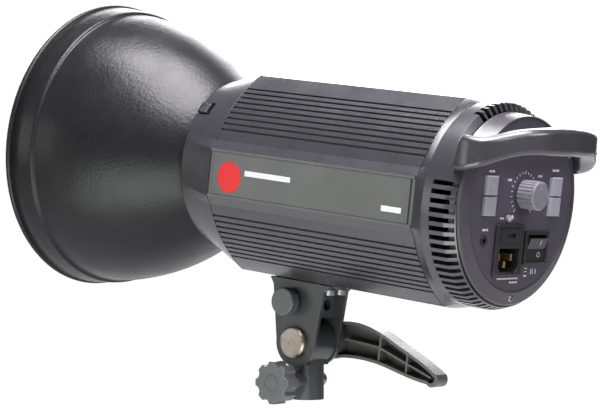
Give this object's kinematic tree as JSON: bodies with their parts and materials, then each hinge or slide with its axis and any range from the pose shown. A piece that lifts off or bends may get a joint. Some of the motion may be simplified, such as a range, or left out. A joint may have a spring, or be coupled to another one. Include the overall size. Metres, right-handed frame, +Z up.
{
  "type": "monolight studio strobe",
  "caption": "Tubular studio strobe with a bell reflector, finned body, rear control panel, carrying handle and tilting stand bracket.",
  "frame": {"origin": "centre of the stand socket's mouth, where the light stand's spigot enters from below", "axes": "+Z up along the stand socket, +Y towards the reflector, +X to the right of somebody standing behind the control panel; the head is stored 7.2 degrees nose up"},
  "size_m": [0.2094, 0.4255, 0.2853],
  "materials": {
    "body_paint": "satin charcoal powder coat",
    "housing": "fine satin charcoal moulding",
    "panel": "matt purple-grey",
    "bezel": "satin black",
    "key_plastic": "matt grey",
    "black_plastic": "matt black",
    "dial_plastic": "matt grey",
    "label": "satin black label plate",
    "reflector_outside": "satin black textured paint",
    "spun_aluminium": "satin",
    "bright_screw": "zinc plated",
    "nickel": "turned nickel plate",
    "cast_bracket": "grey-green hammered paint",
    "lever_plastic": "matt black nylon",
    "knob_plastic": "matt black",
    "brass": "machined",
    "glass_clear": "clear",
    "glass_frosted": "frosted",
    "ceramic": "glazed white ceramic",
    "circuit": "green laminate",
    "can_sleeve": "heat-shrunk sleeve",
    "sheet_steel": "zinc plated",
    "rubber": "matt",
    "coil": "varnished copper winding"
  },
  "bodies": {
    "stand_adapter": {"stand_adapter": "cast_bracket", "friction_washers": "rubber", "socket_plug": "bright_screw"},
    "head": {"bayonet_ring": "spun_aluminium", "board_pillars": "sheet_steel", "body_extrusion": "body_paint", "body_seals": "rubber", "bulkheads": "sheet_steel", "capacitor_clamps": "black_plastic", "chassis_tray": "sheet_steel", "control_board": "circuit", "control_panel": "panel", "fan_frame": "black_plastic", "flash_capacitors": "can_sleeve", "flash_tube": "glass_clear", "front_housing": "housing", "handle": "housing", "inlet_pins": "brass", "insulating_plate": "ceramic", "lamp_base": "brass", "lamp_socket": "ceramic", "machine_screws": "bright_screw", "mains_inlet": "black_plastic", "modelling_lamp": "glass_frosted", "pivot_bolt": "nickel", "power_board": "circuit", "power_pot": "sheet_steel", "rear_bezel": "bezel", "rear_housing": "housing", "rocker_frame": "black_plastic", "side_labels": "label", "sync_socket": "black_plastic", "trigger_coil": "coil", "tube_sockets": "ceramic", "umbrella_block": "cast_bracket", "yoke": "cast_bracket", "yoke_nut_plate": "sheet_steel", "yoke_screws": "bright_screw"},
    "clamp_pad": {"clamp_pad": "brass"},
    "clamp_knob": {"clamp_knob": "knob_plastic", "clamp_screw": "bright_screw"},
    "tilt_lever": {"tilt_lever": "lever_plastic", "lever_insert": "brass"},
    "umbrella_pad": {"umbrella_pad": "brass"},
    "umbrella_knob": {"umbrella_knob": "knob_plastic"},
    "reflector": {"reflector_bowl": "reflector_outside", "reflector_ring": "spun_aluminium", "reflector_rivets": "bright_screw"},
    "release_catch": {"release_catch": "black_plastic"},
    "power_rocker": {"power_rocker": "black_plastic"},
    "fuse_drawer": {"fuse_drawer": "black_plastic", "fuse": "glass_clear"},
    "power_dial": {"power_dial": "dial_plastic"},
    "key_left_upper": {"key_left_upper": "key_plastic"},
    "key_left_lower": {"key_left_lower": "key_plastic"},
    "key_right_upper": {"key_right_upper": "key_plastic"},
    "key_right_lower": {"key_right_lower": "key_plastic"},
    "test_button": {"test_button": "key_plastic"},
    "fan_rotor": {"fan_rotor": "black_plastic"}
  },
  "joints": [
    {"name": "clamp_slide", "type": "slide", "parent": "stand_adapter", "child": "clamp_pad", "axis": [1, 0, 0], "range_m": [-0.00125, 0.00375]},
    {"name": "clamp_turn", "type": "hinge", "parent": "clamp_pad", "child": "clamp_knob", "pos_m": [0, 0, 0.0133], "axis": [1, 0, 0], "range_deg": [-360, 1080]},
    {"name": "head_tilt", "type": "hinge", "parent": "stand_adapter", "child": "head", "pos_m": [0, 0, 0.04], "axis": [1, 0, 0], "range_deg": [-87.2, 72.8]},
    {"name": "lever_turn", "type": "hinge", "parent": "head", "child": "tilt_lever", "pos_m": [0, 0, 0.04], "axis": [1, 0, 0], "range_deg": [-25, 70]},
    {"name": "umbrella_slide", "type": "slide", "parent": "head", "child": "umbrella_pad", "axis": [1, 0, 0], "range_m": [-0.0008, 0.002]},
    {"name": "umbrella_turn", "type": "hinge", "parent": "umbrella_pad", "child": "umbrella_knob", "pos_m": [0, 0.0035, 0.06816], "axis": [1, 0, 0], "range_deg": [-360, 900]},
    {"name": "reflector_turn", "type": "hinge", "parent": "head", "child": "reflector", "pos_m": [0, 0.06396, 0.164], "axis": [0, 0.9921, 0.1253], "range_deg": [-40, 0]},
    {"name": "catch_slide", "type": "slide", "parent": "head", "child": "release_catch", "axis": [0, -0.9921, -0.1253], "range_m": [0, 0.0026], "stiffness_N_per_m": 400, "springref_m": -0.003},
    {"name": "rocker_tip", "type": "hinge", "parent": "head", "child": "power_rocker", "pos_m": [0.021, -0.17004, 0.10621], "axis": [1, 0, 0], "range_deg": [-18, 0]},
    {"name": "drawer_slide", "type": "slide", "parent": "head", "child": "fuse_drawer", "axis": [0, -0.9921, -0.1253], "range_m": [0, 0.018]},
    {"name": "dial_turn", "type": "hinge", "parent": "head", "child": "power_dial", "pos_m": [0.0015, -0.177, 0.14061], "axis": [0, 0.9921, 0.1253], "range_deg": [-140, 140]},
    {"name": "key_left_upper_press", "type": "slide", "parent": "head", "child": "key_left_upper", "axis": [0, 0.9921, 0.1253], "range_m": [0, 0.001], "stiffness_N_per_m": 500, "springref_m": -0.001},
    {"name": "key_left_lower_press", "type": "slide", "parent": "head", "child": "key_left_lower", "axis": [0, 0.9921, 0.1253], "range_m": [0, 0.001], "stiffness_N_per_m": 500, "springref_m": -0.001},
    {"name": "key_right_upper_press", "type": "slide", "parent": "head", "child": "key_right_upper", "axis": [0, 0.9921, 0.1253], "range_m": [0, 0.001], "stiffness_N_per_m": 500, "springref_m": -0.001},
    {"name": "key_right_lower_press", "type": "slide", "parent": "head", "child": "key_right_lower", "axis": [0, 0.9921, 0.1253], "range_m": [0, 0.001], "stiffness_N_per_m": 500, "springref_m": -0.001},
    {"name": "test_button_press", "type": "slide", "parent": "head", "child": "test_button", "axis": [0, 0.9921, 0.1253], "range_m": [0, 0.001], "stiffness_N_per_m": 500, "springref_m": -0.001},
    {"name": "fan_spin", "type": "hinge", "parent": "head", "child": "fan_rotor", "pos_m": [0, -0.12454, 0.14018], "axis": [0, 0.9921, 0.1253], "continuous": true}
  ],
  "couplings": [
    {"joint": "clamp_slide", "follows": "clamp_turn", "m_per_rad": 0.00019894},
    {"joint": "umbrella_slide", "follows": "umbrella_turn", "m_per_rad": 0.00012732}
  ]
}
